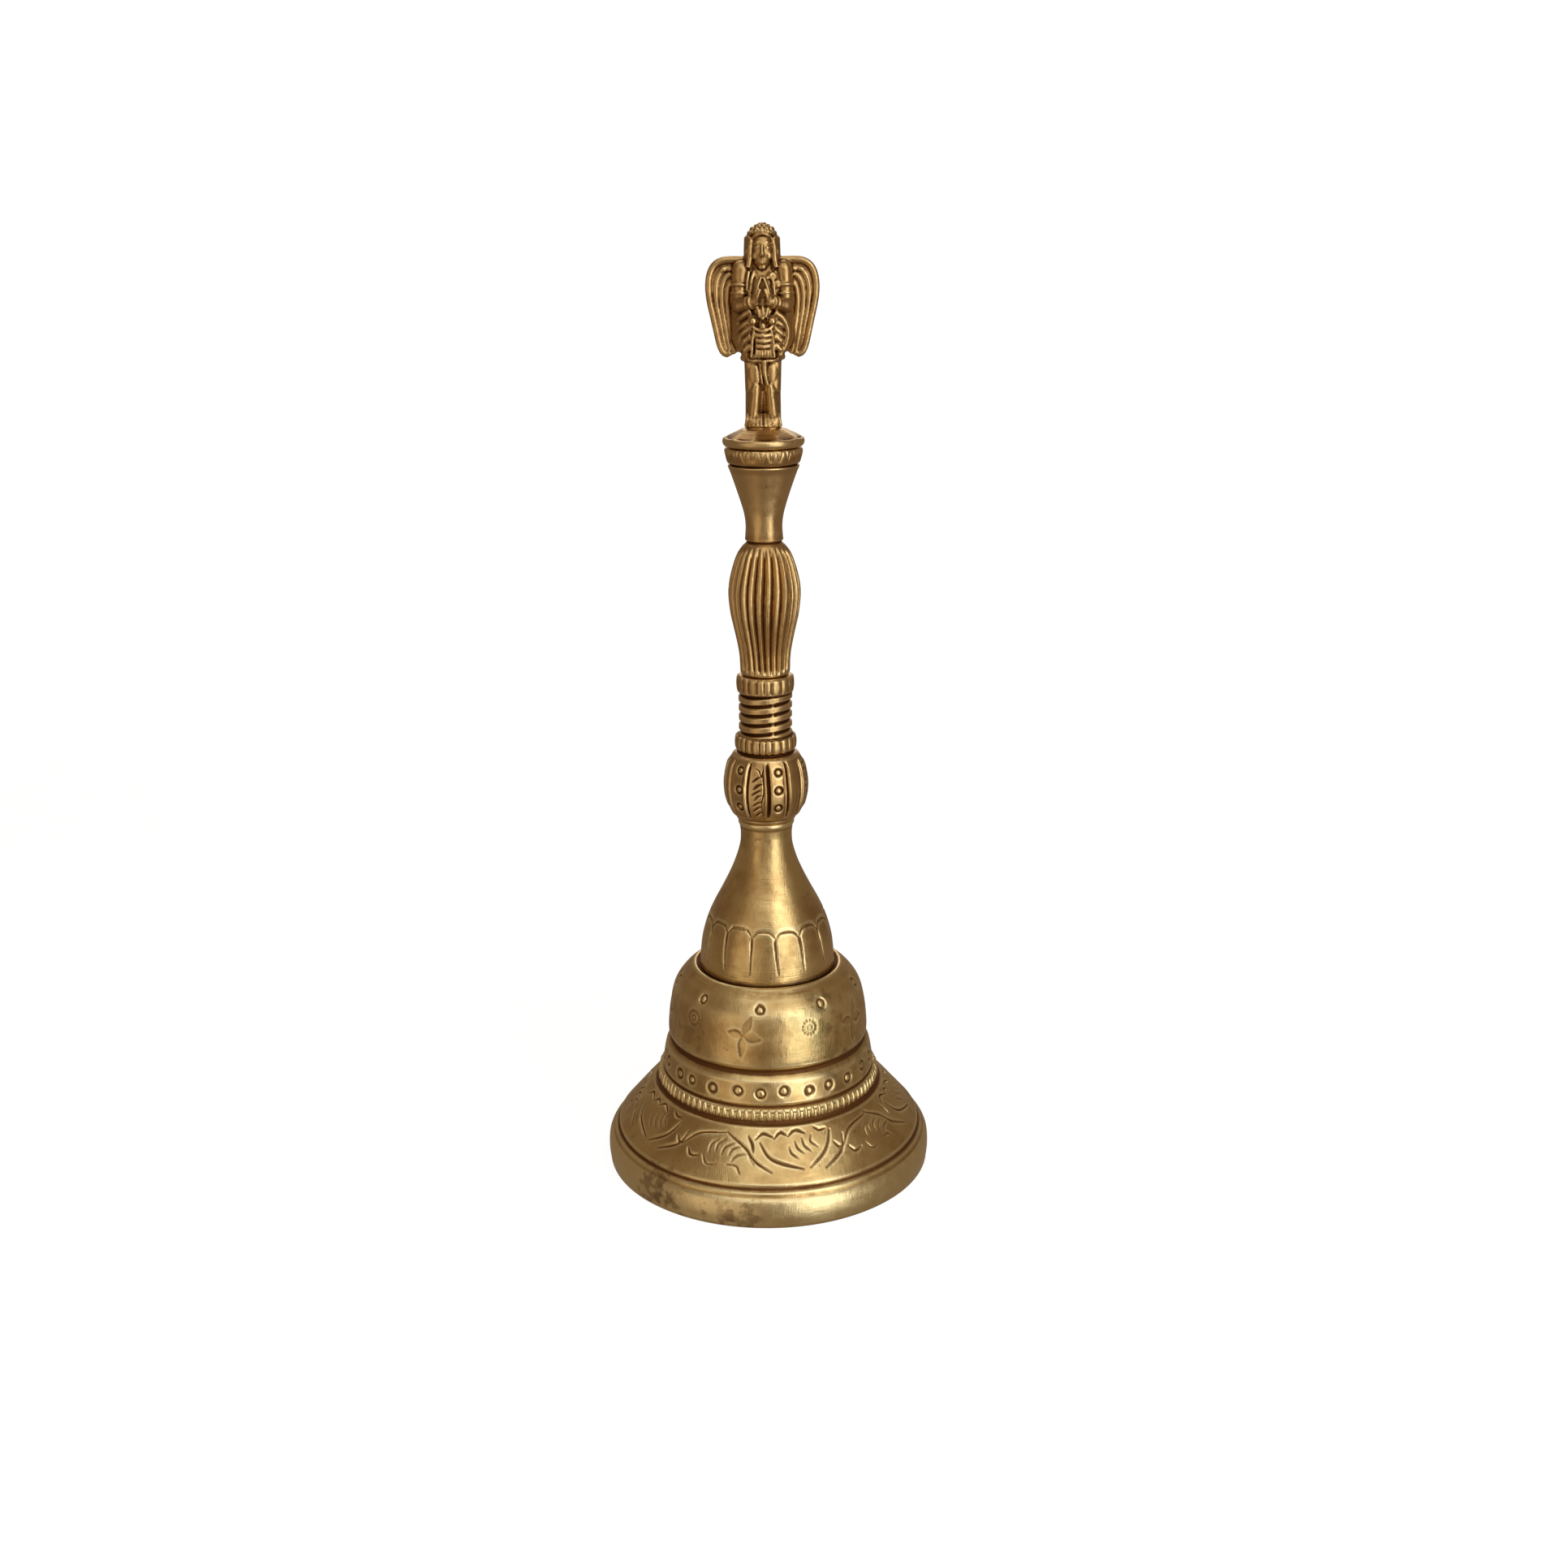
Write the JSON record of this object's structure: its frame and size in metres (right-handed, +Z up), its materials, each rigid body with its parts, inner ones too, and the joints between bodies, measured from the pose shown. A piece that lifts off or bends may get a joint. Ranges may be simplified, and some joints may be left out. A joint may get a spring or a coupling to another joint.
{
  "type": "puja hand bell",
  "caption": "Brass puja hand bell: open cup with an engraved flared skirt, petal-cut neck cone, knobbed and fluted handle, and a winged praying figure as the finial.",
  "frame": {"origin": "centre of the rim's plane, which the bell stands on", "axes": "+Z up the handle's axis, and the figure faces -Y, with its left hand towards +X"},
  "size_m": [0.0546, 0.0546, 0.1524],
  "materials": {
    "cast_brass": "hand-finished cast brass with dark tarnish in its recesses",
    "turned_brass": "plain turned brass, dulled",
    "steel_wire": "drawn steel wire, dulled"
  },
  "bodies": {
    "bell": {"bell_cup": "cast_brass", "neck_cone": "cast_brass", "handle_stem": "cast_brass", "winged_finial": "cast_brass", "eye_stud": "turned_brass", "crown_washer": "turned_brass", "crown_nut": "turned_brass"},
    "link": {"link_ring": "steel_wire"},
    "clapper": {"clapper_rod": "steel_wire", "clapper_bob": "turned_brass"}
  },
  "joints": [
    {"name": "link_turn", "type": "hinge", "parent": "bell", "child": "link", "pos_m": [0, 0, 0.02393], "axis": [0, 0, 1], "range_deg": [-35, 35]},
    {"name": "clapper_swing", "type": "hinge", "parent": "link", "child": "clapper", "pos_m": [0, 0, 0.02183], "axis": [0, 1, 0], "range_deg": [-53, 53]}
  ]
}
